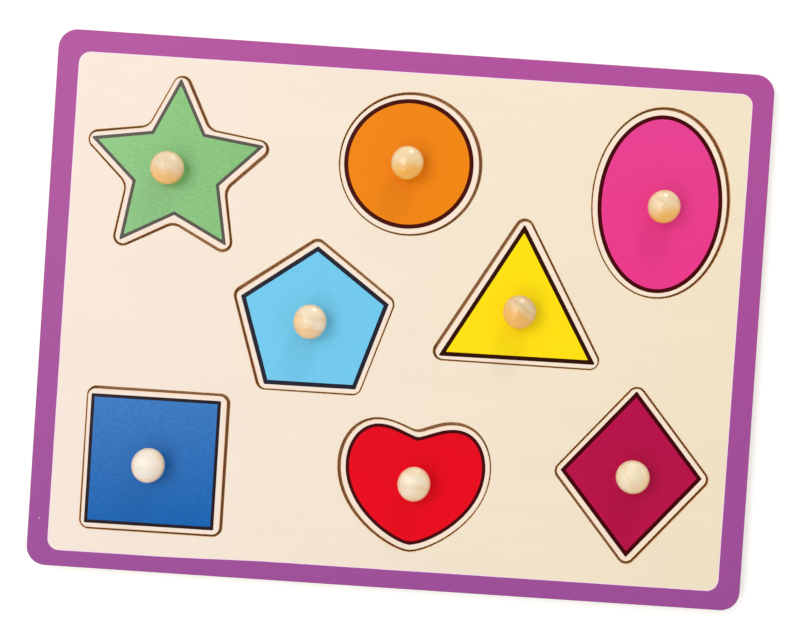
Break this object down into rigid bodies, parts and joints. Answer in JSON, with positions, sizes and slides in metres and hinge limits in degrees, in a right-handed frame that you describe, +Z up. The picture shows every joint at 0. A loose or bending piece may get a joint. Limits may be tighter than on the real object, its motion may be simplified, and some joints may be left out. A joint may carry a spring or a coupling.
{
  "type": "peg puzzle",
  "caption": "Wooden peg puzzle: a flat plywood board with a purple border, whose coloured shape pieces lift out of matching cut-outs by small turned knobs.",
  "frame": {"origin": "middle of the board's underside", "axes": "+X along the board's length, to the right as the puzzle is looked at; +Y across its width, away from the child; +Z up, out of the printed face, the way the pieces lift"},
  "size_m": [0.3, 0.225, 0.02],
  "materials": {
    "board_plywood": "pale sanded plywood, clear matt lacquer, printed purple border on the top face",
    "backing_plywood": "bare sanded plywood",
    "knob_wood": "turned hardwood, clear satin lacquer",
    "pin_steel": "bright steel wire",
    "screw_steel": "bright zinc plating",
    "green_print": "plywood with a screen-printed green figure and dark outline, bare wood margin, satin",
    "orange_print": "plywood with a screen-printed orange figure and dark outline, bare wood margin, satin",
    "pink_print": "plywood with a screen-printed pink figure and dark outline, bare wood margin, satin",
    "sky_print": "plywood with a screen-printed sky blue figure and dark outline, bare wood margin, satin",
    "yellow_print": "plywood with a screen-printed yellow figure and dark outline, bare wood margin, satin",
    "blue_print": "plywood with a screen-printed blue figure and dark outline, bare wood margin, satin",
    "red_print": "plywood with a screen-printed red figure and dark outline, bare wood margin, satin",
    "crimson_print": "plywood with a screen-printed crimson figure and dark outline, bare wood margin, satin"
  },
  "bodies": {
    "board": {"backing_board": "backing_plywood", "top_board": "board_plywood", "panel_pins": "pin_steel"},
    "star_body": {"star_piece": "green_print", "star_knob": "knob_wood", "star_knob_screw": "screw_steel"},
    "circle_body": {"circle_piece": "orange_print", "circle_knob": "knob_wood", "circle_knob_screw": "screw_steel"},
    "ellipse_body": {"ellipse_piece": "pink_print", "ellipse_knob": "knob_wood", "ellipse_knob_screw": "screw_steel"},
    "pentagon_body": {"pentagon_piece": "sky_print", "pentagon_knob": "knob_wood", "pentagon_knob_screw": "screw_steel"},
    "triangle_body": {"triangle_piece": "yellow_print", "triangle_knob": "knob_wood", "triangle_knob_screw": "screw_steel"},
    "square_body": {"square_piece": "blue_print", "square_knob": "knob_wood", "square_knob_screw": "screw_steel"},
    "heart_body": {"heart_piece": "red_print", "heart_knob": "knob_wood", "heart_knob_screw": "screw_steel"},
    "diamond_body": {"diamond_piece": "crimson_print", "diamond_knob": "knob_wood", "diamond_knob_screw": "screw_steel"}
  },
  "joints": [
    {"name": "star_lift", "type": "slide", "parent": "board", "child": "star_body", "axis": [0, 0, 1], "range_m": [0, 0.04]},
    {"name": "circle_lift", "type": "slide", "parent": "board", "child": "circle_body", "axis": [0, 0, 1], "range_m": [0, 0.04]},
    {"name": "ellipse_lift", "type": "slide", "parent": "board", "child": "ellipse_body", "axis": [0, 0, 1], "range_m": [0, 0.04]},
    {"name": "pentagon_lift", "type": "slide", "parent": "board", "child": "pentagon_body", "axis": [0, 0, 1], "range_m": [0, 0.04]},
    {"name": "triangle_lift", "type": "slide", "parent": "board", "child": "triangle_body", "axis": [0, 0, 1], "range_m": [0, 0.04]},
    {"name": "square_lift", "type": "slide", "parent": "board", "child": "square_body", "axis": [0, 0, 1], "range_m": [0, 0.04]},
    {"name": "heart_lift", "type": "slide", "parent": "board", "child": "heart_body", "axis": [0, 0, 1], "range_m": [0, 0.04]},
    {"name": "diamond_lift", "type": "slide", "parent": "board", "child": "diamond_body", "axis": [0, 0, 1], "range_m": [0, 0.04]}
  ]
}
